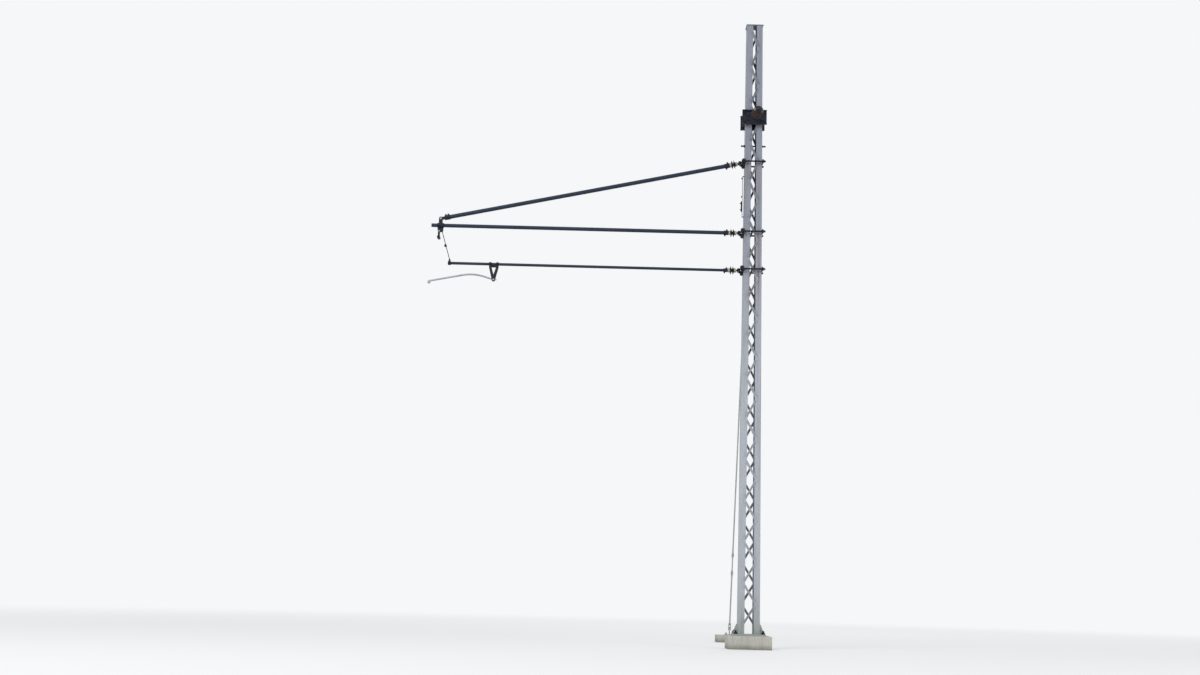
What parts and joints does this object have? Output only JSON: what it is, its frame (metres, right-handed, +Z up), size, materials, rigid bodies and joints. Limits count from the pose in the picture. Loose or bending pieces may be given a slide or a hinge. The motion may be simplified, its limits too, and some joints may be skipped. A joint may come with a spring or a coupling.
{
  "type": "railway catenary mast with hinged cantilever",
  "caption": "Laced channel-leg mast for a railway overhead line, with a swinging tube cantilever, a line anchoring yoke near the head and a back stay.",
  "frame": {"origin": "centre of the foundation's underside, at ground level", "axes": "+Z up the mast, -X along the cantilever towards the track, +Y along the track towards the back stay"},
  "size_m": [4.9017, 4.0444, 8.91],
  "materials": {
    "mast_steel": "light grey, weathered",
    "tube_steel": "dark grey, satin",
    "dark_hardware": "dark, weathered",
    "stay_steel": "dull galvanised",
    "bright_aluminium": "satin",
    "porcelain": "glossy glaze",
    "concrete": "rough, pale"
  },
  "bodies": {
    "mast": {"foundation": "concrete", "base_plate": "mast_steel", "anchor_bolts": "dark_hardware", "leg_track_side": "mast_steel", "leg_field_side": "mast_steel", "lacing_front": "mast_steel", "lacing_back": "mast_steel", "head_plate": "mast_steel", "clamp_bars_upper": "dark_hardware", "clamp_bars_middle": "dark_hardware", "clamp_bars_lower": "dark_hardware", "clamp_rods": "dark_hardware", "hinge_bracket_upper": "dark_hardware", "hinge_bracket_middle": "dark_hardware", "hinge_bracket_lower": "dark_hardware", "hinge_pins": "dark_hardware", "anchor_yoke_front": "dark_hardware", "anchor_yoke_back": "dark_hardware", "yoke_bolts": "dark_hardware", "string_link": "dark_hardware", "string_insulator": "porcelain", "string_caps": "dark_hardware", "stay_rod": "stay_steel", "stay_turnbuckle": "stay_steel", "stay_lower_rod": "stay_steel", "stay_ground_eye": "stay_steel", "stay_ground_block": "concrete", "cross_bar": "dark_hardware", "side_bar": "mast_steel", "side_bar_clamp": "dark_hardware"},
    "cantilever": {"insulator_upper": "porcelain", "insulator_middle": "porcelain", "insulator_lower": "porcelain", "insulator_fittings_upper": "dark_hardware", "insulator_fittings_middle": "dark_hardware", "insulator_fittings_lower": "dark_hardware", "stay_tube": "tube_steel", "bracket_tube": "tube_steel", "registration_tube": "tube_steel", "stay_tube_end": "dark_hardware", "tip_joint": "dark_hardware", "messenger_clamp": "dark_hardware", "registration_hanger": "stay_steel", "hanger_collar": "dark_hardware", "drop_bracket": "dark_hardware"},
    "steady": {"steady_arm": "bright_aluminium", "contact_wire_clip": "bright_aluminium"}
  },
  "joints": [
    {"name": "cantilever_swing", "type": "hinge", "parent": "mast", "child": "cantilever", "pos_m": [-0.19, 0, 5.825], "axis": [0, 0, 1], "range_deg": [-60, 60]},
    {"name": "steady_arm_lift", "type": "hinge", "parent": "cantilever", "child": "steady", "pos_m": [-3.67, 0, 5.056], "axis": [0, 1, 0], "range_deg": [0, 12]}
  ]
}
